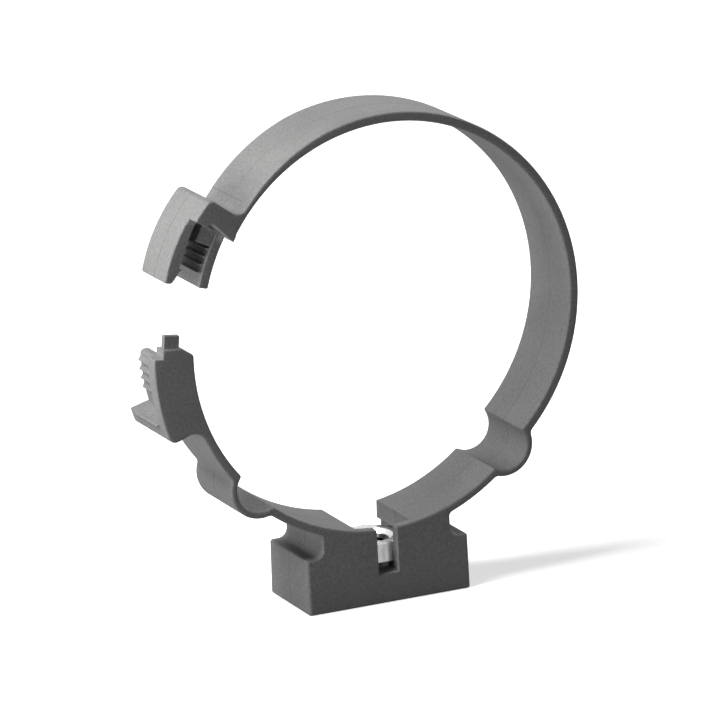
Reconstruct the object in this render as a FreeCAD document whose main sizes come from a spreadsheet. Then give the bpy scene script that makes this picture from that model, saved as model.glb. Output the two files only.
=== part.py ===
"""Open-ring pipe clip, moulded in one with two sprung loops, with a captive square nut.

Millimetres. +Z is up, the base stands on Z = 0 and the nut's axis is the Z axis.
The ring lies in the X-Z plane: the long arm rises on the +X side and comes over the
top to the latch housing on the -X side, where the short arm carries the toothed tongue.
"""
import FreeCAD, Part
import math
import os
import re

import Sketcher

SIZES = {
    # ring and band; a place along a ring is an angle in degrees from +X
    "pipe_radius": 37.5,
    "band_width": 17.3,
    "lap": 1.0,
    # base
    "seat_height": 14.66,
    "foot_length": 34.2,
    "foot_depth": 18.4,
    "foot_height": 10.9,
    "neck_length": 27.0,
    "draft_angle": 1.5,
    "corner_round": 0.7,
    "shoulder_fillet": 1.8,
    "arm_root_fillet": 1.0,
    "lower_arm_wall": 1.6,
    # sprung loops, with their hinge line at the crown
    "loop_inset": 1.36,
    "loop_dip": 44.4,
    "loop_bore": 4.7,
    "loop_wall": 1.3,
    "loop_wrap": 78.0,
    "loop_fillet": 1.2,
    "lip_round": 0.5,
    "channel_lap": 4.0,
    "hinge_clearance": 0.05,
    # square nut and the pocket that holds it
    "nut_width": 13.0,
    "nut_thickness": 4.0,
    "nut_thread_radius": 3.3,
    "nut_sink_radius": 4.8,
    "nut_lower_chamfer": 0.5,
    "nut_corner_radius": 6.6,
    "nut_corner_slope": 30.0,
    "nut_clearance": 0.1,
    "nut_headroom": 0.2,
    "pocket_floor": 7.2,
    "window_width": 11.6,
    "front_wall": 2.6,
    "slot_width": 4.2,
    "slot_floor": 5.8,
    "rod_hole_radius": 4.5,
    # long arm: how far it stands open and off the shut ring, its wall and latch housing
    "long_open": 7.42,
    "long_lift": 0.99,
    "long_wall": 1.85,
    "long_taper": 0.75,
    "long_taper_start": 109.0,
    "long_taper_radius": 38.5,
    "long_end": 147.3,
    "flange_lip": 2.3,
    "flange_lip_end": 149.0,
    "flange_toe": 2.3,
    "housing_start": 142.7,
    "housing_end": 165.0,
    "housing_top_rise": 8.4,
    "housing_mouth_rise": 9.4,
    "housing_sweep_radius": 34.0,
    "housing_inner_step": 0.3,
    "housing_round": 1.3,
    "housing_overhang": 0.6,
    "housing_root_fillet": 2.0,
    "cavity_floor": 2.2,
    "cavity_height": 4.9,
    "cavity_roof": 149.0,
    "stop_end": 153.5,
    "stop_height": 3.2,
    "stop_setback": 0.5,
    "mouth_chamfer": 0.9,
    "mouth_chamfer_start": 162.6,
    "catch_first": 154.3,
    "catch_pitch": 2.26,
    "catch_height": 0.5,
    "catch_back": 0.4,
    "catch_slope": 1.8,
    "rib_height": 0.8,
    "rib_width": 1.4,
    # short arm: how far it stands open and off the shut ring, wall, root, cheek, tongue and prong
    "short_open": 1.97,
    "short_lift": 0.68,
    "short_wall": 1.85,
    "root_start": 195.1,
    "root_end": 200.0,
    "root_lobe": 1.6,
    "root_notch": 2.4,
    "ridge_rise": 8.9,
    "ridge_foot": 197.4,
    "ridge_sink": 0.5,
    "cheek_rise": 8.2,
    "cheek_step": 178.0,
    "cheek_top": 175.8,
    "cheek_top_rise": 6.4,
    "cheek_chamfer_rise": 2.4,
    "cheek_chamfer_end": 178.0,
    "latch_width": 10.9,
    "latch_clearance": 0.15,
    "tongue_floor": 2.9,
    "tongue_height": 2.3,
    "tongue_end": 179.8,
    "tongue_round": 0.9,
    "tooth_first": 182.6,
    "tooth_pitch": 2.4,
    "tooth_height": 0.6,
    "tooth_undercut": 0.45,
    "tooth_slope": 2.04,
    "tooth_back": 0.3,
    "prong_low": 2.7,
    "prong_high": 5.9,
    "prong_end": 172.4,
    "prong_setback": 0.85,
    "prong_thickness": 1.3,
}
CATCH_COUNT = 4
RIB_COUNT = 4
TOOTH_COUNT = 4

document = FreeCAD.newDocument("PipeClip")
sheet = document.addObject("Spreadsheet::Sheet", "Sizes")
for row, (word, size) in enumerate(SIZES.items(), start=1):
    sheet.set(f"A{row}", word)
    sheet.set(f"B{row}", str(size))
    sheet.setAlias(f"B{row}", word)
document.recompute()


def formula(text):
    """The text with every size's name pointed at its cell."""
    return re.sub(r"[a-z_]+", lambda m: "Sizes." + m.group() if m.group() in SIZES else m.group(), text)


def number(text):
    """The present value of a formula, as a plain number."""
    value = sheet.evalExpression(formula(text))
    return float(getattr(value, "Value", value))


def bind(item, prop, text):
    item.setExpression(prop, formula(text))


# Places in the X-Z plane, each a pair of formulas

SEAT = ("0", "(seat_height + pipe_radius)")
LOOP_MIDDLE = "(loop_bore + loop_wall / 2)"
HINGE_GAP = f"asin((loop_wall / 2 + hinge_clearance) / {LOOP_MIDDLE}) / 1 deg"


def polar(centre, radius, angle):
    return (f"{centre[0]} + ({radius}) * cos({angle})", f"{centre[1]} + ({radius}) * sin({angle})")


def loop_centre(side):
    reach = "(pipe_radius - loop_inset)"
    return (f"{side} * {reach} * cos(loop_dip)", f"(seat_height + pipe_radius - {reach} * sin(loop_dip))")


def crown_angle(side):
    return "(0 - loop_dip)" if side > 0 else "(180 + loop_dip)"


def hinge_line(side):
    return polar(loop_centre(side), LOOP_MIDDLE, crown_angle(side))


def arm_centre(side, lift, opening):
    """An arm's ring centre: the seat's, lifted off its hinge line and swung open about it."""
    angle = f"(180 - loop_dip - {opening})" if side > 0 else f"(loop_dip + {opening})"
    x, z = polar(hinge_line(side), f"pipe_radius - loop_inset + {LOOP_MIDDLE} + {lift}", angle)
    return (f"({x})", f"({z})")


LONG = arm_centre(1, "long_lift", "long_open")
SHORT = arm_centre(-1, "short_lift", "short_open")


def bearing(centre, side):
    """The direction from a ring centre to a loop, in degrees from +X, in a full turn."""
    loop = loop_centre(side)
    return f"(mod(atan2({loop[1]} - {centre[1]}; {loop[0]} - {centre[0]}) / 1 deg + 360; 360))"


# Sketches and features

def new_body(name):
    body = document.addObject("PartDesign::Body", "Body_" + name)
    body.Label = name
    return body


def new_sketch(body, name, role="XZ_Plane"):
    sketch = body.newObject("Sketcher::SketchObject", name)
    plane = next(item for item in body.Origin.OriginFeatures if item.Role == role)
    sketch.AttachmentSupport = (plane, "")
    sketch.MapMode = "FlatFace"
    return sketch


def pin(sketch, geometry, point, place):
    """Fix a point of the sketch at a place given by two formulas."""
    for kind, text in (("DistanceX", place[0]), ("DistanceY", place[1])):
        index = sketch.addConstraint(Sketcher.Constraint(kind, -1, 1, geometry, point, number(text)))
        bind(sketch, f"Constraints[{index}]", text)


def arc_edge(first, last, radius, left, major):
    """An arc from first to last that turns left or right, the short or the long way."""
    half = (last - first) * 0.5
    rise = math.sqrt(max(radius ** 2 - half.Length ** 2, 0))
    across = FreeCAD.Vector(-half.y, half.x, 0).normalize()
    centre = first + half + across * (rise if left != major else -rise)
    circle = Part.Circle(centre, FreeCAD.Vector(0, 0, 1), radius)
    begin, end = (first, last) if left else (last, first)
    angles = [math.atan2(point.y - centre.y, point.x - centre.x) for point in (begin, end)]
    if angles[1] < angles[0]:
        angles[1] += 2 * math.pi
    return Part.ArcOfCircle(circle, *angles)


def outline(sketch, corners, arcs=None):
    """A closed line through the corners; arcs maps an edge to (radius, left, major)."""
    arcs = arcs or {}
    points = [FreeCAD.Vector(number(x), number(z), 0) for x, z in corners]
    edges = []
    for step, point in enumerate(points):
        after = points[(step + 1) % len(points)]
        if step not in arcs:
            edges.append((sketch.addGeometry(Part.LineSegment(point, after), False), 1, 2))
            continue
        radius, left, major = arcs[step]
        geometry = sketch.addGeometry(arc_edge(point, after, number(radius), left, major), False)
        index = sketch.addConstraint(Sketcher.Constraint("Radius", geometry, number(radius)))
        bind(sketch, f"Constraints[{index}]", radius)
        edges.append((geometry, 1, 2) if left else (geometry, 2, 1))
    for step, (geometry, begin, end) in enumerate(edges):
        pin(sketch, geometry, begin, corners[step])
        follower, start, _ = edges[(step + 1) % len(edges)]
        sketch.addConstraint(Sketcher.Constraint("Coincident", geometry, end, follower, start))


def sector(sketch, centre, inner, outer, first, last):
    """A piece of a ring between two radii, from the first angle up to the last."""
    corners = [polar(centre, inner, first), polar(centre, outer, first),
               polar(centre, outer, last), polar(centre, inner, last)]
    major = number(last) - number(first) > 180
    outline(sketch, corners, {1: (outer, True, major), 3: (inner, False, major)})


def rectangle(sketch, left, right, low, high):
    outline(sketch, [(left, low), (right, low), (right, high), (left, high)])


def disc(sketch, centre, radius):
    middle = FreeCAD.Vector(number(centre[0]), number(centre[1]), 0)
    circle = Part.Circle(middle, FreeCAD.Vector(0, 0, 1), number(radius))
    geometry = sketch.addGeometry(circle, False)
    index = sketch.addConstraint(Sketcher.Constraint("Radius", geometry, number(radius)))
    bind(sketch, f"Constraints[{index}]", radius)
    pin(sketch, geometry, 3, centre)


def extrude(body, sketch, low, high, cut=False):
    """Add or cut the sketch between two levels along its plane's axis (Y, or Z for X-Y)."""
    facing_y = sketch.AttachmentSupport[0][0].Role == "XZ_Plane"
    level = high if facing_y != cut else low
    bind(sketch, "AttachmentOffset.Base.z", f"0 - ({level})" if facing_y else f"{level}")
    kind = "PartDesign::Pocket" if cut else "PartDesign::Pad"
    feature = body.newObject(kind, sketch.Name.replace("Outline", "") + ("Cut" if cut else ""))
    feature.Profile = sketch
    bind(feature, "Length", f"({high}) - ({low})")
    document.recompute()
    return feature


def across_band(body, sketch, width="band_width", cut=False):
    return extrude(body, sketch, f"0 - ({width}) / 2", f"({width}) / 2", cut)


def ridges(shape, places, tolerance=0.02):
    """Names of the straight edges along Y that stand on the given places."""
    spots = [(number(x), number(z)) for x, z in places]
    names = []
    for index, edge in enumerate(shape.Edges, start=1):
        ends = [vertex.Point for vertex in edge.Vertexes]
        if len(ends) < 2 or math.hypot(ends[0].x - ends[1].x, ends[0].z - ends[1].z) > tolerance:
            continue
        if any(math.hypot(ends[0].x - x, ends[0].z - z) < tolerance for x, z in spots):
            names.append(f"Edge{index}")
    return names


def round_off(body, name, names, radius):
    carrier = body.Tip
    feature = body.newObject("PartDesign::Fillet", name)
    feature.Base = (carrier, names)
    bind(feature, "Radius", radius)
    document.recompute()
    return feature


def meeting(first, first_radius, second, second_radius, upper):
    """Where two circles meet, taken on the left of the line between their centres if upper."""
    start = FreeCAD.Vector(number(first[0]), number(first[1]), 0)
    line = FreeCAD.Vector(number(second[0]), number(second[1]), 0) - start
    one, two = number(first_radius), number(second_radius)
    along = (one ** 2 - two ** 2 + line.Length ** 2) / (2 * line.Length)
    aside = math.sqrt(one ** 2 - along ** 2) * (1 if upper else -1)
    ahead = FreeCAD.Vector(line).normalize()
    spot = start + ahead * along + FreeCAD.Vector(-ahead.y, ahead.x, 0) * aside
    return (str(spot.x), str(spot.y))


def reach(rise):
    """A radius that lies the given height above the pipe."""
    return f"(pipe_radius + {rise})"


# Loops and bands, shared by the base and both arms

def add_band(body, name, centre, wall, first, last):
    sketch = new_sketch(body, "Outline" + name)
    sector(sketch, centre, "pipe_radius", reach(wall), first, last)
    return across_band(body, sketch)


def add_loop_half(body, name, side, first, last):
    """Part of a loop's wall, between two directions from the loop's centre."""
    sketch = new_sketch(body, "Outline" + name)
    sector(sketch, loop_centre(side), "loop_bore", "(loop_bore + loop_wall)", first, last)
    return across_band(body, sketch)


def cut_channel(body, name, side):
    """The channel inside a loop, cut through the band that runs into it."""
    sketch = new_sketch(body, "Outline" + name)
    disc(sketch, loop_centre(side), "loop_bore")
    return across_band(body, sketch, "2 * foot_depth", cut=True)


def round_loop(body, name, centre, wall, crossings):
    """Fillet where the loops meet the band outside and round off the channels' lips inside."""
    notches = [meeting(centre, reach(wall), loop_centre(side), "(loop_bore + loop_wall)", upper)
               for side, upper in crossings]
    round_off(body, name + "LoopFillets", ridges(body.Tip.Shape, notches), "loop_fillet")
    lips = [meeting(centre, "pipe_radius", loop_centre(side), "loop_bore", upper) for side, upper in crossings]
    round_off(body, name + "LipRounds", ridges(body.Tip.Shape, lips), "lip_round")


# Base: foot, neck and seat, the two lower arms and the halves of the loops that stay with them

base = new_body("base")

foot_outline = new_sketch(base, "OutlineFoot")
rectangle(foot_outline, "0 - foot_length / 2", "foot_length / 2", "0", "foot_height")
across_band(base, foot_outline, "foot_depth")

NECK_TOP = f"({SEAT[1]} - sqrt(({reach('lower_arm_wall / 2')}) ^ 2 - (neck_length / 2) ^ 2))"
neck_outline = new_sketch(base, "OutlineNeck")
rectangle(neck_outline, "0 - neck_length / 2", "neck_length / 2", "foot_height / 2", NECK_TOP)
across_band(base, neck_outline, "foot_depth")

# front and back lean inwards, so that the moulding leaves its tool
block = base.Tip
draft = base.newObject("PartDesign::Draft", "FootDraft")
draft.Base = (block, [f"Face{index}" for index, face in enumerate(block.Shape.Faces, start=1)
                      if abs(face.normalAt(0, 0).y) > 0.9])
draft.NeutralPlane = (next(item for item in base.Origin.OriginFeatures if item.Role == "XY_Plane"), [""])
bind(draft, "Angle", "draft_angle")
document.recompute()
document.recompute()

shoulders = [(f"{side} * neck_length / 2", "foot_height") for side in (1, -1)]
round_off(base, "ShoulderFillets", ridges(base.Tip.Shape, shoulders),
          "min(shoulder_fillet; (foot_length - neck_length) / 4)")
foot_corners = [f"Edge{index}" for index, edge in enumerate(base.Tip.Shape.Edges, start=1)
                if edge.BoundBox.ZLength > 0.9 * number("foot_height") and edge.BoundBox.ZMin < 0.001]
round_off(base, "FootCorners", foot_corners, "corner_round")

add_band(base, "LowerArms", SEAT, "lower_arm_wall",
         "180 + loop_dip + channel_lap", "360 - loop_dip - channel_lap")
for side, word in ((1, "Right"), (-1, "Left")):
    crown = crown_angle(side)
    span = (f"{crown} - loop_wrap", crown) if side > 0 else (crown, f"{crown} + loop_wrap")
    add_loop_half(base, f"Loop{word}", side, *span)
    end_outline = new_sketch(base, f"OutlineHingeEnd{word}")
    disc(end_outline, hinge_line(side), "loop_wall / 2")
    across_band(base, end_outline)
    cut_channel(base, f"Channel{word}", side)

seat_outline = new_sketch(base, "OutlineSeat")
disc(seat_outline, SEAT, "pipe_radius")
across_band(base, seat_outline, "2 * foot_depth", cut=True)

under_arm = f"{SEAT[1]} - sqrt({reach('lower_arm_wall')} ^ 2 - (neck_length / 2) ^ 2)"
arm_roots = [(f"{side} * neck_length / 2", under_arm) for side in (1, -1)]
round_off(base, "ArmRootFillets", ridges(base.Tip.Shape, arm_roots), "arm_root_fillet")
round_loop(base, "Base", SEAT, "lower_arm_wall", [(1, False), (-1, True)])

# the nut's way in from the back, the lips over it, the slot in front and the rod's hole
NUT_ROOM = "(nut_width / 2 + nut_clearance)"
WALL_INNER = "(front_wall - foot_depth / 2)"
POCKET_TOP = "(pocket_floor + nut_thickness + nut_headroom)"
window = new_sketch(base, "OutlineWindow", "XY_Plane")
rectangle(window, "0 - window_width / 2", "window_width / 2", WALL_INNER, "foot_depth")
extrude(base, window, "(pocket_floor + nut_thickness / 2)", "pipe_radius", cut=True)
pocket = new_sketch(base, "OutlinePocket", "XY_Plane")
rectangle(pocket, f"0 - {NUT_ROOM}", NUT_ROOM, WALL_INNER, "foot_depth")
extrude(base, pocket, "pocket_floor", POCKET_TOP, cut=True)
slot = new_sketch(base, "OutlineSlot", "XY_Plane")
rectangle(slot, "0 - slot_width / 2", "slot_width / 2", "0 - foot_depth", "0 - slot_width / 2")
extrude(base, slot, "slot_floor", "pipe_radius", cut=True)
rod_hole = new_sketch(base, "OutlineRodHole", "XY_Plane")
disc(rod_hole, ("0", "0"), "rod_hole_radius")
extrude(base, rod_hole, "0 - slot_floor", "(pocket_floor + nut_thickness / 2)", cut=True)

# Long arm: the latch housing with its flange, then the band over the top and its loop half

long_arm = new_body("long_arm")
HOUSING_FRONT = "(latch_clearance - latch_width / 2)"
HOUSING_BACK = "(latch_width / 2 + housing_overhang)"
housing = new_sketch(long_arm, "OutlineHousing")
outline(housing, [polar(LONG, reach("housing_inner_step"), "housing_start"),
                  polar(LONG, reach("housing_top_rise"), "housing_start"),
                  polar(LONG, reach("housing_mouth_rise"), "housing_end"),
                  polar(LONG, reach("housing_inner_step"), "housing_end")],
        {1: ("housing_sweep_radius", True, False), 3: (reach("housing_inner_step"), False, False)})
extrude(long_arm, housing, "0 - band_width / 2", HOUSING_BACK)
top_corner = [polar(LONG, reach("housing_top_rise"), "housing_start")]
round_off(long_arm, "HousingRound", ridges(long_arm.Tip.Shape, top_corner), "housing_round")

# in front the housing ends in a flange, so that the cheek has room beside it
cheek_room = new_sketch(long_arm, "OutlineCheekRoom")
LIP_FLOOR = reach("housing_top_rise - flange_lip")
outline(cheek_room, [polar(LONG, "pipe_radius - lap", "long_end"),
                     polar(LONG, LIP_FLOOR, "long_end"),
                     polar(LONG, LIP_FLOOR, "flange_lip_end"),
                     polar(LONG, reach("2 * housing_mouth_rise"), "flange_lip_end"),
                     polar(LONG, reach("2 * housing_mouth_rise"), "housing_end + lap"),
                     polar(LONG, "pipe_radius - lap", "housing_end + lap")],
        {1: (LIP_FLOOR, True, False)})
extrude(long_arm, cheek_room, "0 - band_width", HOUSING_FRONT, cut=True)

# the band thins towards the housing
long_start = f"{bearing(LONG, 1)} - 360 + channel_lap"
THIN = reach("long_wall - long_taper")
band = new_sketch(long_arm, "OutlineLongBand")
outline(band, [polar(LONG, "pipe_radius", long_start),
               polar(LONG, reach("long_wall"), long_start),
               polar(LONG, reach("long_wall"), "long_taper_start"),
               polar(LONG, THIN, "housing_start"),
               polar(LONG, THIN, "long_end"),
               polar(LONG, "pipe_radius", "long_end")],
        {1: (reach("long_wall"), True, False), 2: ("long_taper_radius", True, False),
         3: (THIN, True, False), 5: ("pipe_radius", False, True)})
across_band(long_arm, band)
toe = new_sketch(long_arm, "OutlineToe")
outline(toe, [polar(LONG, "pipe_radius", "long_end - lap"),
              polar(LONG, LIP_FLOOR, "long_end - lap"),
              polar(LONG, LIP_FLOOR, "long_end"),
              polar(LONG, "pipe_radius", "long_end + flange_toe")],
        {3: ("pipe_radius", False, False)})
extrude(long_arm, toe, "0 - band_width / 2", HOUSING_FRONT)
long_loop = (f"{crown_angle(1)} + {HINGE_GAP}", f"{bearing(LONG, 1)} - 360 + loop_wrap")
add_loop_half(long_arm, "LongLoop", 1, *long_loop)
cut_channel(long_arm, "LongChannel", 1)
round_loop(long_arm, "Long", LONG, "long_wall", [(1, True)])
band_corner = [polar(LONG, THIN, "housing_start")]
round_off(long_arm, "HousingRoot", ridges(long_arm.Tip.Shape, band_corner), "housing_root_fillet")

cavity = new_sketch(long_arm, "OutlineCavity")
CAVITY_TOP = "cavity_floor + cavity_height"
sector(cavity, LONG, reach("cavity_floor"), reach(CAVITY_TOP), "cavity_roof", "housing_end + lap")
extrude(long_arm, cavity, HOUSING_FRONT, "foot_depth", cut=True)
stop = new_sketch(long_arm, "OutlineStop")
stop_top = reach("cavity_floor + stop_height")
sector(stop, LONG, reach("cavity_floor / 2 + housing_inner_step"), stop_top, "cavity_roof - lap", "stop_end")
extrude(long_arm, stop, f"{HOUSING_FRONT} + stop_setback", HOUSING_BACK)

# saw teeth hang from the outer wall and low ribs stand on the inner one, along the depth
catches = new_sketch(long_arm, "OutlineCatches")
for count in range(CATCH_COUNT):
    tip = f"catch_first + {count} * catch_pitch"
    outline(catches, [polar(LONG, reach(f"{CAVITY_TOP} + catch_height / 2"), f"{tip} - catch_back"),
                      polar(LONG, reach(f"{CAVITY_TOP} + catch_height / 2"), f"{tip} + catch_slope"),
                      polar(LONG, reach(f"{CAVITY_TOP} - catch_height"), tip)])
extrude(long_arm, catches, HOUSING_FRONT, HOUSING_BACK)
ribs = new_sketch(long_arm, "OutlineRibs")
for count in range(RIB_COUNT):
    top = f"catch_first + {count} * catch_pitch"
    half = "rib_width / pipe_radius * 180 / pi / 2"
    outline(ribs, [polar(LONG, reach("cavity_floor - rib_height"), f"{top} - {half}"),
                   polar(LONG, reach("cavity_floor + rib_height"), top),
                   polar(LONG, reach("cavity_floor - rib_height"), f"{top} + {half}")])
extrude(long_arm, ribs, f"{HOUSING_FRONT} + stop_setback", HOUSING_BACK)

mouth = new_sketch(long_arm, "OutlineMouth")
outline(mouth, [polar(LONG, reach(CAVITY_TOP), "mouth_chamfer_start"),
                polar(LONG, reach(f"{CAVITY_TOP} + mouth_chamfer"), "housing_end"),
                polar(LONG, reach(f"{CAVITY_TOP} + mouth_chamfer"), "housing_end + lap"),
                polar(LONG, reach(f"{CAVITY_TOP} - catch_height"), "housing_end + lap"),
                polar(LONG, reach(f"{CAVITY_TOP} - catch_height"), "mouth_chamfer_start")])
extrude(long_arm, mouth, HOUSING_FRONT, HOUSING_BACK, cut=True)

# Short arm: the band, its loop half, the root block, the cheek, the toothed tongue, the prong

short_arm = new_body("short_arm")
TONGUE_BACK = "(latch_width / 2)"
add_band(short_arm, "ShortBand", SHORT, "short_wall", "root_start", f"{bearing(SHORT, -1)} - channel_lap")
short_loop = (f"{bearing(SHORT, -1)} - loop_wrap", f"{crown_angle(-1)} - {HINGE_GAP}")
add_loop_half(short_arm, "ShortLoop", -1, *short_loop)
cut_channel(short_arm, "ShortChannel", -1)
round_loop(short_arm, "Short", SHORT, "short_wall", [(-1, False)])

root = new_sketch(short_arm, "OutlineRoot")
sector(root, SHORT, "pipe_radius", reach("cheek_rise"), "root_start", "root_end")
across_band(short_arm, root)
lobe = [polar(SHORT, reach("cheek_rise"), "root_end")]
round_off(short_arm, "RootLobe", ridges(short_arm.Tip.Shape, lobe), "root_lobe")
notch = [polar(SHORT, reach("short_wall"), "root_end")]
round_off(short_arm, "RootNotch", ridges(short_arm.Tip.Shape, notch), "root_notch")
ridge = new_sketch(short_arm, "OutlineRidge")
outline(ridge, [polar(SHORT, reach("tongue_floor + tongue_height"), "root_start"),
                polar(SHORT, reach("ridge_rise"), "root_start"),
                polar(SHORT, reach("cheek_rise - ridge_sink"), "ridge_foot")])
extrude(short_arm, ridge, "0 - latch_width / 2", TONGUE_BACK)

cheek = new_sketch(short_arm, "OutlineCheek")
outline(cheek, [polar(SHORT, "pipe_radius", "cheek_chamfer_end"),
                polar(SHORT, reach("cheek_chamfer_rise"), "cheek_top"),
                polar(SHORT, reach("cheek_top_rise"), "cheek_top"),
                polar(SHORT, reach("cheek_top_rise"), "cheek_step"),
                polar(SHORT, reach("cheek_rise"), "cheek_step"),
                polar(SHORT, reach("cheek_rise"), "root_start + lap"),
                polar(SHORT, "pipe_radius", "root_start + lap")],
        {4: (reach("cheek_rise"), True, False), 6: ("pipe_radius", False, False)})
extrude(short_arm, cheek, "0 - band_width / 2", "0 - latch_width / 2")

tongue = new_sketch(short_arm, "OutlineTongue")
TONGUE_TOP = "tongue_floor + tongue_height"
sector(tongue, SHORT, reach("tongue_floor"), reach(TONGUE_TOP), "tongue_end", "root_start + lap")
extrude(short_arm, tongue, "0 - latch_width / 2", TONGUE_BACK)
tip_edges = [polar(SHORT, reach(rise), "tongue_end") for rise in ("tongue_floor", TONGUE_TOP)]
round_off(short_arm, "TongueRound", ridges(short_arm.Tip.Shape, tip_edges), "tongue_round")
teeth = new_sketch(short_arm, "OutlineTeeth")
for count in range(TOOTH_COUNT):
    tip = f"tooth_first + {count} * tooth_pitch"
    outline(teeth, [polar(SHORT, reach(f"{TONGUE_TOP} - tooth_undercut"), f"{tip} - tooth_slope"),
                    polar(SHORT, reach(f"{TONGUE_TOP} + tooth_height"), tip),
                    polar(SHORT, reach(f"{TONGUE_TOP} - tooth_undercut"), f"{tip} + tooth_back")])
extrude(short_arm, teeth, "0 - latch_width / 2", TONGUE_BACK)

prong = new_sketch(short_arm, "OutlineProng")
sector(prong, SHORT, reach("prong_low"), reach("prong_high"), "prong_end", "cheek_top + lap")
PRONG_FRONT = "(prong_setback - band_width / 2)"
extrude(short_arm, prong, PRONG_FRONT, f"{PRONG_FRONT} + prong_thickness")

# Square nut, with a countersunk thread hole and its upper corners taken off by a cone

nut = new_body("nut")
plate = new_sketch(nut, "OutlinePlate", "XY_Plane")
rectangle(plate, "0 - nut_width / 2", "nut_width / 2", "0 - nut_width / 2", "nut_width / 2")
extrude(nut, plate, "pocket_floor", "pocket_floor + nut_thickness")
thread = new_sketch(nut, "OutlineThread", "XY_Plane")
disc(thread, ("0", "0"), "nut_thread_radius")
extrude(nut, thread, "pocket_floor - lap", "pocket_floor + nut_thickness + lap", cut=True)
cone = new_sketch(nut, "OutlineCone")
NUT_TOP = "(pocket_floor + nut_thickness)"
outline(cone, [("nut_corner_radius", NUT_TOP), ("nut_width", NUT_TOP),
               ("nut_width", f"{NUT_TOP} - (nut_width - nut_corner_radius) * tan(nut_corner_slope)")])
corners = nut.newObject("PartDesign::Groove", "CornerCone")
corners.Profile = cone
corners.ReferenceAxis = (cone, ["V_Axis"])
corners.Angle = 360
document.recompute()


def hole_rim(level):
    names = []
    for index, edge in enumerate(nut.Tip.Shape.Edges, start=1):
        bounds = edge.BoundBox
        flat = bounds.ZLength < 0.001 and abs(bounds.ZMin - number(level)) < 0.001
        if flat and abs(bounds.XLength - 2 * number("nut_thread_radius")) < 0.001:
            names.append(f"Edge{index}")
    return names


for word, level, size in (("Sink", NUT_TOP, "nut_sink_radius - nut_thread_radius"),
                          ("Under", "pocket_floor", "nut_lower_chamfer")):
    rim = hole_rim(level)
    below = nut.Tip
    chamfer = nut.newObject("PartDesign::Chamfer", f"Thread{word}")
    chamfer.Base = (below, rim)
    bind(chamfer, "Size", size)
    document.recompute()

# Checks, then one file for each piece

for item in document.Objects:
    faults = [state for state in item.State if state in ("Invalid", "Error")]
    if faults:
        raise RuntimeError(f"{item.Name}: {faults}")

os.makedirs("parts", exist_ok=True)
for body in (base, long_arm, short_arm, nut):
    shape = body.Shape
    if shape.isNull() or not shape.isValid() or len(shape.Solids) != 1:
        raise RuntimeError(f"{body.Label}: {len(shape.Solids)} solids")
    shape.exportStep(f"parts/{body.Label}.step")
    print(body.Label, "volume", round(shape.Volume, 2), "faces", len(shape.Faces), shape.BoundBox)
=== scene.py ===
import math

import bmesh
import bpy
from mathutils import Matrix, Vector


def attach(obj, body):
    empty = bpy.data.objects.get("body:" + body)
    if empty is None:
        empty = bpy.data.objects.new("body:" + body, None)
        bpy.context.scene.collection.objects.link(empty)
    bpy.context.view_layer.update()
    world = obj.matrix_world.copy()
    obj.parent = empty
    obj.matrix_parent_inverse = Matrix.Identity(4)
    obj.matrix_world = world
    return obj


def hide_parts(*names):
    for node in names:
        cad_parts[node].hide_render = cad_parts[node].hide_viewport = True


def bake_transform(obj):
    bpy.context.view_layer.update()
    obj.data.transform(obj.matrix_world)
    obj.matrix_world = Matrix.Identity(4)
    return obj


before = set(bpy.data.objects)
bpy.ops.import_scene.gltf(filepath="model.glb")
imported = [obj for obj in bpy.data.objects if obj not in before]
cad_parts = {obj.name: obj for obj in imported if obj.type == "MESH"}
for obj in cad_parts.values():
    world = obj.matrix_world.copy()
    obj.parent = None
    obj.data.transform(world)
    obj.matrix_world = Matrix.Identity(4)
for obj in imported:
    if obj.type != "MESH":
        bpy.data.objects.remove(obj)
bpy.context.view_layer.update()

MM = 0.001

# Camera, placed as in the photograph: place in metres, angles in degrees, lens and sensor in millimetres
CAMERA_PLACE = Vector((-0.44921, -0.99636, 0.34695))
CAMERA_YAW, CAMERA_PITCH, CAMERA_ROLL = 24.279, 15.406, -2.484
CAMERA_LENS, SENSOR_WIDTH = 294.33, 36.0
CLIP_START, CLIP_END = 0.01, 10

# Lamps: place, aim and side in metres, power in watts
LAMPS = {
    "key": ((-0.29, 0.02, 0.45), (0, 0, 0.05), 0.3, 4.7),
    "side": ((-0.7, -0.05, 0.06), (0, 0, 0.04), 0.25, 2.6),
    "panel": ((-0.5, 0, 0.004), (-0.5, 0, 1), 0.4, 10),
    "fill": ((0.45, 0.12, 0.3), (0, 0, 0.05), 0.3, 1.2),
}

# Sky and floor: brightness with 1 as white, lengths in metres
SKY, FLOOR_BOUNCE, FLOOR_SEEN, FLOOR_GLOW = 0.03, 0.42, 0.95, 0.45
FLOOR_SIZE, FADE_START, FADE_END = 40, 0.25, 0.9
FLOOR_ROUGHNESS, FLOOR_SHINE = 0.9, 0.1

# Parts of a noise's span that a surface uses
NARROW, MIDDLE, WIDE = (0.35, 0.65), (0.3, 0.7), (0.2, 0.8)

# Plastic: noise scales per metre, greys, and heights in metres
GRAIN_SCALE, SPECK_SCALE, CLOUD_SCALE = 3000, 2200, 90
PLASTIC_DARK, PLASTIC_PALE = (0.095, 0.095, 0.094), (0.160, 0.160, 0.158)
SPECK_SHARE, CLOUD_SHARE, LINE_SHARE = 0.7, 0.3, 0.8
PLASTIC_ROUGHNESS, PLASTIC_SHINE = (0.48, 0.64), 0.35
GRAIN_HEIGHT, LINE_HEIGHT = 0.00006, 0.00004

# Lines on the plastic: distances in metres at which a line starts and ends to fade, and how strong it is
PARTING_EDGE, PARTING_CLOUDS, PARTING_STRENGTH = (0.00008, 0.00022), (0.35, 0.6), (0.45, 1)
INSERT_EDGE, INSERT_STRENGTH = (0.00006, 0.0002), 0.6

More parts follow.
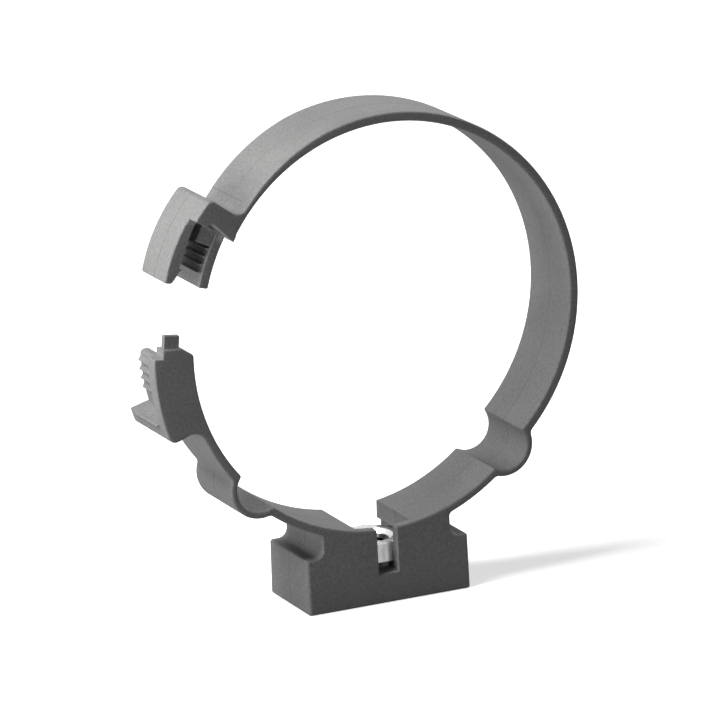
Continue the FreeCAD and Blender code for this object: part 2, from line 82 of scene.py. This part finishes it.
# Zinc plate: noise scales per metre, greys (the darker one is also the painted shade in the nut's bore), and
# in metres its height and where that painted shade ends
ZINC_CLOUD_SCALE, ZINC_SPECK_SCALE, STREAK_SCALE = 1100, 3200, (1, 1, 0.25)
ZINC_DARK, ZINC_PALE = (0.02, 0.02, 0.02), (0.82, 0.83, 0.85)
ZINC_TONE, ZINC_ROUGHNESS = (0.75, 1), (0.32, 0.16)
ZINC_HEIGHT = 0.00001
# Distances from the nut's axis over which the painted shade in the bore gives way to the zinc's own tone
BORE_SHADE_EDGE = (0.0039, 0.0041)

# Nut's thread in millimetres, and the margin round it that has no rounds
THREAD_RADIUS, THREAD_PITCH, THREAD_DEPTH = 3.3, 1.25, 0.65
THREAD_FADE, THREAD_ROWS, THREAD_STEPS = 0.3, 40, 72
THREAD_MARGIN = 0.8

# Sizes of the moulding in millimetres and degrees, as in the part's source
PIPE_RADIUS = 37.5
HALF_WIDTH = 8.65
SEAT_HEIGHT = 14.66
FOOT_HALF, FOOT_DRAFT = 9.2, 1.5
LOOP_BORE, LOOP_WALL = 4.7, 1.3
LOOP_INSET, LOOP_DIP = 1.36, 44.4
LOOP_FILLET, LIP_ROUND = 1.2, 0.5
LOWER_WALL, ARM_WALL = 1.6, 1.85
LONG_OPEN, LONG_LIFT = 7.42, 0.99
SHORT_OPEN, SHORT_LIFT = 1.97, 0.68

# Heights in millimetres at which the loops' walls take over from the base's solid and the arms'
BASE_CUT, ARM_CUT = 20.0, 33.0

# Foot's long sides, which run into the lower arms' at its top, and the ends of that border in X and Z
FOOT_TOP = 16.32
FOOT_LEAN = (FOOT_HALF - HALF_WIDTH) / FOOT_TOP - math.tan(math.radians(FOOT_DRAFT))
LEAN_START, LEAN_RAMP = 8.0, 0.6
LEVEL_START = FOOT_TOP - 1.7
BORDER_START, BORDER_ENDS = 10.9, ((11.03, FOOT_TOP), (15.37, 16.21))

# Insert's line: its angle round the long arm, and its side, inner radius and length in millimetres
INSERT_ANGLE, INSERT_SIDE, INSERT_RADIUS, INSERT_LENGTH = 138.3, -5.5, 38.1, 3.0

# Rounds in millimetres, and the share of a round that an edge has in the finer parts
EDGE_ROUND, NUT_ROUND, ROUND_STEPS, ROOM_SHARE = 0.42, 0.2, 3, 0.9
POCKET_SHARE, LATCH_SHARE, CHEEK_SHARE = 0.5, 0.25, 0.6

# Where those parts lie: nut's pocket and slot, latch housing, two thin edges beside it, tongue, cheek
POCKET_HALF, POCKET_FLOOR, POCKET_FRONT, SLOT_HALF = 5.9, 5, -8, 2.2
LATCH_RING, LATCH_ANGLES = (37.9, 45.3), (147.5, 180)
WEDGE_ACROSS, WEDGE_LOW, WEDGE_SIDE = (-28.8, -25), 79, (5.95, 6.15)
BAND_END_ACROSS, BAND_END_HEIGHTS = (-29.4, -28.1), (75.4, 77.6)
TONGUE_FRONT, TONGUE_RING, TONGUE_ROOT, CHEEK_TOP = -5.6, (40, 44), 195, 175.5

# Steps of the loops' outlines, and limits of the mesh work in millimetres and radians
FILLET_STEPS, LOOP_STEPS = 6, 20
SHARP, FLAT, COPLANAR = math.radians(38), math.radians(2.5), math.radians(0.5)
JOIN_GAP, TRIM_GAP, CUT_GAP, BORE_GAP, SLIVER = 0.002, 0.0005, 0.001, 0.03, 0.003
WELD_HEIGHT, WELD_GAP = 0.01, 0.08
LEVEL_GAP, LEVEL_MERGE, SIDEWAYS = 0.05, 0.006, 0.99
EDGE_PLACES, LEAST_ROOM, LEAST_TURN = (0.15, 0.5, 0.85), 0.001, 0.3


def polar(centre, radius, angle):
    """Point at a radius and an angle in degrees from a centre."""
    return centre + Vector((math.cos(math.radians(angle)), math.sin(math.radians(angle)))) * radius


def angle_of(point, centre):
    return math.degrees(math.atan2(point.y - centre.y, point.x - centre.x))


# Centres in the X-Z plane of the seat, of the right loop and its hinge line, and of both open arms
LOOP_REACH = PIPE_RADIUS - LOOP_INSET
SEAT = Vector((0, SEAT_HEIGHT + PIPE_RADIUS))
LOOP = polar(SEAT, LOOP_REACH, -LOOP_DIP)
HINGE = polar(LOOP, LOOP_BORE + LOOP_WALL / 2, -LOOP_DIP)
ARM_REACH = LOOP_REACH + LOOP_BORE + LOOP_WALL / 2
LONG = polar(HINGE, ARM_REACH + LONG_LIFT, 180 - LOOP_DIP - LONG_OPEN)
SHORT = polar(Vector((-HINGE.x, HINGE.y)), ARM_REACH + SHORT_LIFT, LOOP_DIP + SHORT_OPEN)


def crossing(first, first_radius, second, second_radius, hand):
    """Where two circles meet, on the left of the line between their centres if hand is 1."""
    line = second - first
    along = (first_radius ** 2 - second_radius ** 2 + line.length_squared) / (2 * line.length)
    aside = math.sqrt(first_radius ** 2 - along ** 2) * hand
    ahead = line.normalized()
    return first + ahead * along + Vector((-ahead.y, ahead.x)) * aside


def sweep(centre, radius, first, last, count):
    """Points along an arc the short way round, without the last one."""
    turn = (last - first + 180) % 360 - 180
    return [polar(centre, radius, first + turn * step / count) for step in range(count)]


def loop_line(arm, seat_radius, arm_radius, loop_radius, rounding):
    """One side of the right loop's wall in the X-Z plane, from the base's cut to the arm's."""
    low = crossing(SEAT, seat_radius + rounding, LOOP, loop_radius + rounding, -1)
    high = crossing(arm, arm_radius + rounding, LOOP, loop_radius + rounding, 1)
    start = -math.degrees(math.asin((SEAT.y - BASE_CUT) / seat_radius))
    end = -math.degrees(math.asin((arm.y - ARM_CUT) / arm_radius))
    points = sweep(SEAT, seat_radius, start, angle_of(low, SEAT), FILLET_STEPS)
    points += sweep(low, rounding, angle_of(SEAT, low), angle_of(LOOP, low), FILLET_STEPS)
    points += sweep(LOOP, loop_radius, angle_of(low, LOOP), -LOOP_DIP, LOOP_STEPS)
    points += sweep(LOOP, loop_radius, -LOOP_DIP, angle_of(high, LOOP), LOOP_STEPS)
    points += sweep(high, rounding, angle_of(LOOP, high), angle_of(arm, high), FILLET_STEPS)
    points += sweep(arm, arm_radius, angle_of(high, arm), end, FILLET_STEPS)
    return points + [polar(arm, arm_radius, end)]


def join_rings(work, rings):
    """Faces from each ring of points to the next."""
    for before, after in zip(rings, rings[1:]):
        for step in range(len(before)):
            follow = (step + 1) % len(before)
            work.faces.new((before[step], before[follow], after[follow], after[step]))


def add_loop(work, side):
    """The whole wall of one loop, four faces round each step, closed at the base's cut only."""
    arm = LONG if side > 0 else Vector((-SHORT.x, SHORT.y))
    inner = loop_line(arm, PIPE_RADIUS, PIPE_RADIUS, LOOP_BORE, LIP_ROUND)
    outer = loop_line(arm, PIPE_RADIUS + LOWER_WALL, PIPE_RADIUS + ARM_WALL,
                      LOOP_BORE + LOOP_WALL, LOOP_FILLET)
    rings = []
    for near, far in zip(inner, outer):
        corners = ((near, -1), (far, -1), (far, 1), (near, 1))
        rings.append([work.verts.new((side * point.x, hand * HALF_WIDTH, point.y))
                      for point, hand in corners])
    join_rings(work, rings)
    work.faces.new(rings[0])


def merge_flat(work):
    """Dissolve the edges between faces that lie in one plane."""
    bmesh.ops.dissolve_limit(work, angle_limit=COPLANAR, verts=work.verts, edges=work.edges)


def cad_copy(name):
    """A node's mesh in millimetres, with its flat faces made whole again."""
    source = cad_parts[name]
    work = bmesh.new()
    work.from_mesh(source.data)
    work.transform(Matrix.Scale(1 / MM, 4) @ source.matrix_world)
    bmesh.ops.remove_doubles(work, verts=work.verts, dist=JOIN_GAP)
    merge_flat(work)
    return work


def trim(work, level, keep_above):
    """Cut the mesh off at a level and leave it open there."""
    geometry = list(work.verts) + list(work.edges) + list(work.faces)
    bmesh.ops.bisect_plane(work, geom=geometry, dist=TRIM_GAP, plane_co=(0, 0, level),
                           plane_no=(0, 0, -1 if keep_above else 1), clear_outer=True)


def close(work):
    """Fill the holes that a trim left."""
    rim = [edge for edge in work.edges if len(edge.link_faces) == 1]
    bmesh.ops.holes_fill(work, edges=rim, sides=0)


def weld(work, level):
    """Join what meets at a level."""
    joint = [vert for vert in work.verts if abs(vert.co.z - level) < WELD_HEIGHT]
    bmesh.ops.remove_doubles(work, verts=joint, dist=WELD_GAP)
    merge_flat(work)


def is_cut(edge):
    """Whether an edge lies on the base's cut."""
    return all(abs(vert.co.z - BASE_CUT) < CUT_GAP for vert in edge.verts)


def is_border(edge):
    """Whether an edge divides the foot's long side from the lower arm's."""
    return (all(abs(face.normal.y) > SIDEWAYS for face in edge.link_faces)
            and all(vert.co.z > LEVEL_START and abs(vert.co.x) > BORDER_START for vert in edge.verts))


def level_sides(work):
    """Lean the foot's long sides in to the lower arms', so that no step is left between them."""
    for vert in work.verts:
        half = abs(vert.co.y)
        if vert.co.z <= LEVEL_START:
            half -= FOOT_LEAN * vert.co.z * min(max(half - LEAN_START, 0) / LEAN_RAMP, 1)
        elif half > HALF_WIDTH - LEVEL_GAP:
            half = max(FOOT_HALF - (FOOT_HALF - HALF_WIDTH) * vert.co.z / FOOT_TOP, HALF_WIDTH)
        vert.co.y = math.copysign(half, vert.co.y)
    bmesh.ops.remove_doubles(work, verts=work.verts, dist=LEVEL_MERGE)
    border = [edge for edge in work.edges if is_border(edge)]
    bmesh.ops.dissolve_edges(work, edges=border, use_verts=True)
    for across in (1, -1):
        for side in (1, -1):
            places = [Vector((side * x, across * HALF_WIDTH, z)) for x, z in BORDER_ENDS]
            ends = [min(work.verts, key=lambda vert: (vert.co - place).length) for place in places]
            face = next(face for face in ends[0].link_faces if face in ends[1].link_faces)
            bmesh.utils.face_split(face, *ends)


def within(value, limits):
    return limits[0] < value < limits[1]


def ring_place(place, centre):
    """Radius and angle of a place round the middle of an arm."""
    point = Vector((place.x, place.z))
    return (point - centre).length, angle_of(point, centre) % 360


def base_softness(place):
    """Less of a round in the nut's pocket and in its slot."""
    in_pocket = abs(place.x) < POCKET_HALF and place.y > POCKET_FRONT
    in_slot = abs(place.x) < SLOT_HALF
    return POCKET_SHARE if place.z > POCKET_FLOOR and (in_pocket or in_slot) else 1


def long_softness(place):
    """Less of a round in the latch housing, and none on the two thin edges beside it."""
    radius, angle = ring_place(place, LONG)
    wedge = within(place.x, WEDGE_ACROSS) and place.z > WEDGE_LOW and within(place.y, WEDGE_SIDE)
    band_end = within(place.x, BAND_END_ACROSS) and within(place.z, BAND_END_HEIGHTS)
    if wedge or band_end:
        return 0
    return LATCH_SHARE if within(radius, LATCH_RING) and within(angle, LATCH_ANGLES) else 1


def short_softness(place):
    """Less of a round on the tongue with its teeth, and on the cheek's top."""
    radius, angle = ring_place(place, SHORT)
    if place.y > TONGUE_FRONT and within(radius, TONGUE_RING) and angle < TONGUE_ROOT:
        return LATCH_SHARE
    return CHEEK_SHARE if angle < CHEEK_TOP else 1


def nut_softness(place):
    """No round beside the thread."""
    return 0 if math.hypot(place.x, place.y) < THREAD_RADIUS + THREAD_MARGIN else 1


def reach_across(other, start, along, inward, place):
    """How far another edge of a face lies from a place along the first one, or 0 where it is beside it."""
    first = other.vert.co - start
    last = other.link_loop_next.vert.co - start
    before, after = first.dot(along) - place, last.dot(along) - place
    if before * after > 0 or before == after:
        return 0
    return first.lerp(last, before / (before - after)).dot(inward)


def room_beside(loop, sharp):
    """How far a round can reach into a face from one of its edges, with room for other rounds in it."""
    start = loop.vert.co
    along = (loop.edge.other_vert(loop.vert).co - start).normalized()
    inward = loop.face.normal.cross(along)
    room = math.inf
    blunt = {side for side in (loop.link_loop_prev, loop.link_loop_next) if side.edge not in sharp}
    facing = [other for other in loop.face.loops
              if other != loop and other not in blunt and other.edge.calc_face_angle(0) >= FLAT]
    for share in EDGE_PLACES:
        for other in facing:
            reach = reach_across(other, start, along, inward, share * loop.edge.calc_length())
            if reach > LEAST_ROOM:
                room = min(room, reach / 2 if other.edge in sharp else reach)
    for side in blunt:
        turn = (side.link_loop_next.vert.co - side.vert.co).normalized().cross(along).length
        if side.edge.calc_face_angle(0) > FLAT and turn > LEAST_TURN:
            room = min(room, side.edge.calc_length() * turn)
    return room


def weigh_edges(work, width, softness):
    """Give each sharp edge its share of the round's width, as far as its two faces have room for it."""
    weight = work.edges.layers.float.new("bevel_weight_edge")
    sharp = {edge for edge in work.edges if edge.calc_face_angle_signed(0) > SHARP and not is_cut(edge)}
    for edge in sharp:
        middle = (edge.verts[0].co + edge.verts[1].co) / 2
        room = min(room_beside(loop, sharp) for loop in edge.link_loops)
        edge[weight] = min(softness(middle), ROOM_SHARE * room / width)


def clean_faces(mesh):
    """Drop slivers, cut up faces of many sides, and keep only the edges of a cut sharp."""
    work = bmesh.new()
    work.from_mesh(mesh)
    bmesh.ops.dissolve_degenerate(work, edges=work.edges, dist=SLIVER)
    many_sided = [face for face in work.faces if len(face.verts) > 4]
    bmesh.ops.triangulate(work, faces=many_sided, ngon_method="BEAUTY")
    for edge in work.edges:
        edge.smooth = not is_cut(edge)
    work.to_mesh(mesh)
    work.free()
    mesh.shade_smooth()


def bake(item):
    """Put the mesh as its modifiers leave it in place of the object's own."""
    depsgraph = bpy.context.evaluated_depsgraph_get()
    final = bpy.data.meshes.new_from_object(item.evaluated_get(depsgraph))
    item.modifiers.clear()
    item.data = final


def new_piece(name, work, width, softness):
    """A mesh object from the work mesh, its edges rounded by the width times their softness."""
    bmesh.ops.recalc_face_normals(work, faces=work.faces)
    weigh_edges(work, width, softness)
    mesh = bpy.data.meshes.new(name)
    work.to_mesh(mesh)
    work.free()
    item = bpy.data.objects.new(name, mesh)
    bpy.context.scene.collection.objects.link(item)
    bevel = item.modifiers.new("rounds", "BEVEL")
    bevel.limit_method = "WEIGHT"
    bevel.width = width
    bevel.segments = ROUND_STEPS
    bevel.use_clamp_overlap = False
    bake(item)
    clean_faces(item.data)
    normals = item.modifiers.new("normals", "WEIGHTED_NORMAL")
    normals.keep_sharp = True
    bake(item)
    item.data.transform(Matrix.Scale(MM, 4))
    item.data.name = name
    places = item.data.attributes.new("rest_place", "FLOAT_VECTOR", "POINT")
    places.data.foreach_set("vector", [number for vert in item.data.vertices for number in vert.co])
    return item


def new_material(name):
    """A material, its node tree and its shader."""
    material = bpy.data.materials.new(name)
    material.use_nodes = True
    return material, material.node_tree, material.node_tree.nodes["Principled BSDF"]


def assign(item, material):
    item.data.materials.clear()
    item.data.materials.append(material)


def add_noise(tree, place, scale, detail):
    noise = tree.nodes.new("ShaderNodeTexNoise")
    noise.inputs["Scale"].default_value = scale
    noise.inputs["Detail"].default_value = detail
    tree.links.new(place, noise.inputs["Vector"])
    return noise.outputs["Fac"]


def add_range(tree, value, source, target, smooth=False):
    """A value taken from its source range to a target range, and held at the target's ends."""
    span = tree.nodes.new("ShaderNodeMapRange")
    if smooth:
        span.interpolation_type = "SMOOTHSTEP"
    for socket, number in zip(("From Min", "From Max", "To Min", "To Max"), (*source, *target)):
        span.inputs[socket].default_value = number
    tree.links.new(value, span.inputs["Value"])
    return span.outputs["Result"]


def add_math(tree, operation, first, second=None):
    """One step of arithmetic, in which each value is a number or a socket."""
    step = tree.nodes.new("ShaderNodeMath")
    step.operation = operation
    for socket, value in zip(step.inputs, (first, second)):
        if isinstance(value, (int, float)):
            socket.default_value = value
        elif value is not None:
            tree.links.new(value, socket)
    return step.outputs["Value"]


def add_vector_math(tree, operation, output, place, other=None):
    step = tree.nodes.new("ShaderNodeVectorMath")
    step.operation = operation
    tree.links.new(place, step.inputs[0])
    if other is not None:
        step.inputs[1].default_value = other
    return step.outputs[output]


def add_axes(tree, place):
    axes = tree.nodes.new("ShaderNodeSeparateXYZ")
    tree.links.new(place, axes.inputs[0])
    return axes.outputs


def add_bump(tree, height, distance, normal=None):
    bump = tree.nodes.new("ShaderNodeBump")
    bump.inputs["Strength"].default_value = 1
    bump.inputs["Distance"].default_value = distance
    tree.links.new(height, bump.inputs["Height"])
    if normal:
        tree.links.new(normal, bump.inputs["Normal"])
    return bump.outputs["Normal"]


def add_tone(tree, tone, low, high, shader):
    """Colour between two greys, on the shader's colour socket."""
    mix = tree.nodes.new("ShaderNodeMix")
    mix.data_type = "RGBA"
    tree.links.new(tone, mix.inputs[0])
    mix.inputs[6].default_value = (*low, 1)
    mix.inputs[7].default_value = (*high, 1)
    tree.links.new(mix.outputs[2], shader.inputs["Base Color"])


def parting_line(tree, sideways, cloud):
    """The mould's parting line at mid-width, fainter in some clouds than in others."""
    off_line = add_math(tree, "ABSOLUTE", sideways)
    line = add_range(tree, off_line, PARTING_EDGE, (1, 0), smooth=True)
    return add_math(tree, "MULTIPLY", line, add_range(tree, cloud, PARTING_CLOUDS, PARTING_STRENGTH))


def insert_line(tree, place, sideways):
    """The faint edge of the mould's insert for the latch, across the long arm and down one side."""
    offset = add_vector_math(tree, "SUBTRACT", "Vector", place, (LONG.x * MM, 0, LONG.y * MM))
    out = polar(Vector((0, 0)), 1, INSERT_ANGLE)
    outward = add_vector_math(tree, "DOT_PRODUCT", "Value", offset, (out.x, 0, out.y))
    ahead = add_vector_math(tree, "DOT_PRODUCT", "Value", offset, (-out.y, 0, out.x))
    beside = add_math(tree, "SUBTRACT", INSERT_SIDE * MM, sideways)
    edge = add_math(tree, "MAXIMUM", add_math(tree, "MULTIPLY", ahead, -1), beside)
    line = add_range(tree, add_math(tree, "ABSOLUTE", edge), INSERT_EDGE, (1, 0), smooth=True)
    outside = add_math(tree, "GREATER_THAN", outward, INSERT_RADIUS * MM)
    near = add_range(tree, ahead, (INSERT_LENGTH / 2 * MM, INSERT_LENGTH * MM), (INSERT_STRENGTH, 0))
    return add_math(tree, "MULTIPLY", line, add_math(tree, "MULTIPLY", outside, near))


def plastic_material():
    """Matt grey plastic with a fine grain, faint clouds and the lines that the mould leaves."""
    material, tree, shader = new_material("grey_plastic")
    rest_place = tree.nodes.new("ShaderNodeAttribute")
    rest_place.attribute_name = "rest_place"
    place = rest_place.outputs["Vector"]
    sideways = add_axes(tree, place)["Y"]
    grain = add_noise(tree, place, GRAIN_SCALE, detail=3)
    speck = add_noise(tree, place, SPECK_SCALE, detail=2)
    cloud = add_noise(tree, place, CLOUD_SCALE, detail=3)
    line = add_math(tree, "MAXIMUM", parting_line(tree, sideways, cloud), insert_line(tree, place, sideways))
    tone = add_range(tree, speck, MIDDLE, (0, SPECK_SHARE))
    tone = add_math(tree, "ADD", tone, add_range(tree, cloud, MIDDLE, (0, CLOUD_SHARE)))
    tone = add_math(tree, "SUBTRACT", tone, add_math(tree, "MULTIPLY", line, LINE_SHARE))
    add_tone(tree, tone, PLASTIC_DARK, PLASTIC_PALE, shader)
    tree.links.new(add_range(tree, grain, WIDE, PLASTIC_ROUGHNESS), shader.inputs["Roughness"])
    shader.inputs["Specular IOR Level"].default_value = PLASTIC_SHINE
    rough = add_bump(tree, grain, GRAIN_HEIGHT)
    tree.links.new(add_bump(tree, line, LINE_HEIGHT, rough), shader.inputs["Normal"])
    return material


def zinc_material():
    """Bright zinc plate with faint clouds drawn out into streaks, and painted shade that darkens the thread
    in the bore.
    """
    material, tree, shader = new_material("zinc_plate")
    shader.inputs["Metallic"].default_value = 1
    place = tree.nodes.new("ShaderNodeTexCoord").outputs["Object"]
    streaks = tree.nodes.new("ShaderNodeMapping")
    streaks.inputs["Scale"].default_value = STREAK_SCALE
    tree.links.new(place, streaks.inputs["Vector"])
    cloud = add_noise(tree, streaks.outputs["Vector"], ZINC_CLOUD_SCALE, detail=4)
    speck = add_noise(tree, place, ZINC_SPECK_SCALE, detail=2)
    # Painted shade in the bore: near the nut's axis the tone drops to the dark grey, so the thread is drawn
    # dark
    axes = add_axes(tree, place)
    squares = [add_math(tree, "POWER", axes[axis], 2) for axis in "XY"]
    off_axis = add_math(tree, "SQRT", add_math(tree, "ADD", *squares))
    outside_bore_shade = add_range(tree, off_axis, BORE_SHADE_EDGE, (0, 1))
    tone = add_math(tree, "MULTIPLY", add_range(tree, cloud, NARROW, ZINC_TONE), outside_bore_shade)
    add_tone(tree, tone, ZINC_DARK, ZINC_PALE, shader)
    tree.links.new(add_range(tree, cloud, MIDDLE, ZINC_ROUGHNESS), shader.inputs["Roughness"])
    tree.links.new(add_bump(tree, speck, ZINC_HEIGHT), shader.inputs["Normal"])
    return material


def add_clip(plastic):
    """The moulding: its middle, and each arm with the whole wall of its loop."""
    work = cad_copy("base")
    trim(work, BASE_CUT, keep_above=False)
    close(work)
    level_sides(work)
    middle = new_piece("clip_middle", work, EDGE_ROUND, base_softness)
    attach(middle, "base")
    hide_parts("base")
    pieces = [middle]
    for name, side, softness in (("long_arm", 1, long_softness), ("short_arm", -1, short_softness)):
        work = cad_copy(name)
        trim(work, ARM_CUT, keep_above=True)
        add_loop(work, side)
        weld(work, ARM_CUT)
        piece = new_piece("clip_" + name, work, EDGE_ROUND, softness)
        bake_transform(piece)
        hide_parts(name)
        pieces.append(piece)
    for piece in pieces:
        assign(piece, plastic)


def add_thread(work):
    """Cut the thread's groove into the nut's plain bore."""
    bore = [face for face in work.faces
            if all(abs(math.hypot(*vert.co.xy) - THREAD_RADIUS) < BORE_GAP for vert in face.verts)]
    heights = [vert.co.z for face in bore for vert in face.verts]
    low, high = min(heights), max(heights)
    bmesh.ops.delete(work, geom=bore, context="FACES")
    rings = []
    for row in range(THREAD_ROWS + 1):
        height = low + (high - low) * row / THREAD_ROWS
        fade = min((height - low) / THREAD_FADE, (high - height) / THREAD_FADE, 1)
        ring = []
        for step in range(THREAD_STEPS):
            depth = 1 - abs(2 * ((height / THREAD_PITCH - step / THREAD_STEPS) % 1) - 1)
            radius = THREAD_RADIUS + THREAD_DEPTH * fade * depth
            angle = math.tau * step / THREAD_STEPS
            ring.append(work.verts.new((radius * math.cos(angle), radius * math.sin(angle), height)))
        rings.append(ring)
    join_rings(work, rings)


def add_nut(zinc):
    """The captive square nut, with its thread."""
    work = cad_copy("nut")
    add_thread(work)
    nut = new_piece("square_nut", work, NUT_ROUND, nut_softness)
    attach(nut, "base")
    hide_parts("nut")
    assign(nut, zinc)


def add_world():
    """A weak sky that the camera and reflections see in white."""
    world = bpy.data.worlds.new("studio")
    bpy.context.scene.world = world
    world.use_nodes = True
    tree = world.node_tree
    background = tree.nodes["Background"]
    background.inputs["Color"].default_value = (1, 1, 1, 1)
    path = tree.nodes.new("ShaderNodeLightPath")
    sees = add_math(tree, "MAXIMUM", path.outputs["Is Camera Ray"], path.outputs["Is Glossy Ray"])
    tree.links.new(add_range(tree, sees, (0, 1), (SKY, 1)), background.inputs["Strength"])


def add_floor():
    """A pale floor that the camera sees in white, apart from the object's shadow near its foot."""
    bpy.ops.mesh.primitive_plane_add(size=FLOOR_SIZE, location=(0, 0, 0))
    floor = bpy.context.object
    floor.name = "floor"
    material, tree, shader = new_material("pale_floor")
    sees = tree.nodes.new("ShaderNodeLightPath").outputs["Is Camera Ray"]
    add_tone(tree, sees, (FLOOR_BOUNCE,) * 3, (FLOOR_SEEN,) * 3, shader)
    place = tree.nodes.new("ShaderNodeTexCoord").outputs["Object"]
    distance = add_vector_math(tree, "LENGTH", "Value", place)
    far = add_range(tree, distance, (FADE_START, FADE_END), (FLOOR_GLOW, 1))
    shader.inputs["Emission Color"].default_value = (1, 1, 1, 1)
    tree.links.new(add_math(tree, "MULTIPLY", sees, far), shader.inputs["Emission Strength"])
    shader.inputs["Roughness"].default_value = FLOOR_ROUGHNESS
    shader.inputs["Specular IOR Level"].default_value = FLOOR_SHINE
    assign(floor, material)


def add_lamp(name, place, aim, size, power):
    data = bpy.data.lights.new(name, "AREA")
    data.energy = power
    data.size = size
    lamp = bpy.data.objects.new(name, data)
    lamp.location = place
    lamp.rotation_euler = (Vector(aim) - Vector(place)).to_track_quat("-Z", "Y").to_euler()
    bpy.context.scene.collection.objects.link(lamp)


def add_camera():
    """The camera, turned and tilted to the object and rolled about its line of sight."""
    yaw, pitch, roll = (math.radians(angle) for angle in (CAMERA_YAW, CAMERA_PITCH, CAMERA_ROLL))
    ahead = Vector((math.sin(yaw) * math.cos(pitch), math.cos(yaw) * math.cos(pitch), -math.sin(pitch)))
    right = Vector((math.cos(yaw), -math.sin(yaw), 0))
    down = ahead.cross(right)
    rolled_right = right * math.cos(roll) - down * math.sin(roll)
    rolled_down = right * math.sin(roll) + down * math.cos(roll)
    data = bpy.data.cameras.new("camera")
    data.sensor_width = SENSOR_WIDTH
    data.lens = CAMERA_LENS
    data.clip_start = CLIP_START
    data.clip_end = CLIP_END
    camera = bpy.data.objects.new("camera", data)
    turn = Matrix((rolled_right, -rolled_down, -ahead)).transposed()
    camera.matrix_world = Matrix.Translation(CAMERA_PLACE) @ turn.to_4x4()
    bpy.context.scene.collection.objects.link(camera)
    bpy.context.scene.camera = camera


add_clip(plastic_material())
add_nut(zinc_material())

bpy.context.scene.view_settings.view_transform = "Standard"
add_world()
add_floor()
for name, lamp in LAMPS.items():
    add_lamp(name, *lamp)
add_camera()
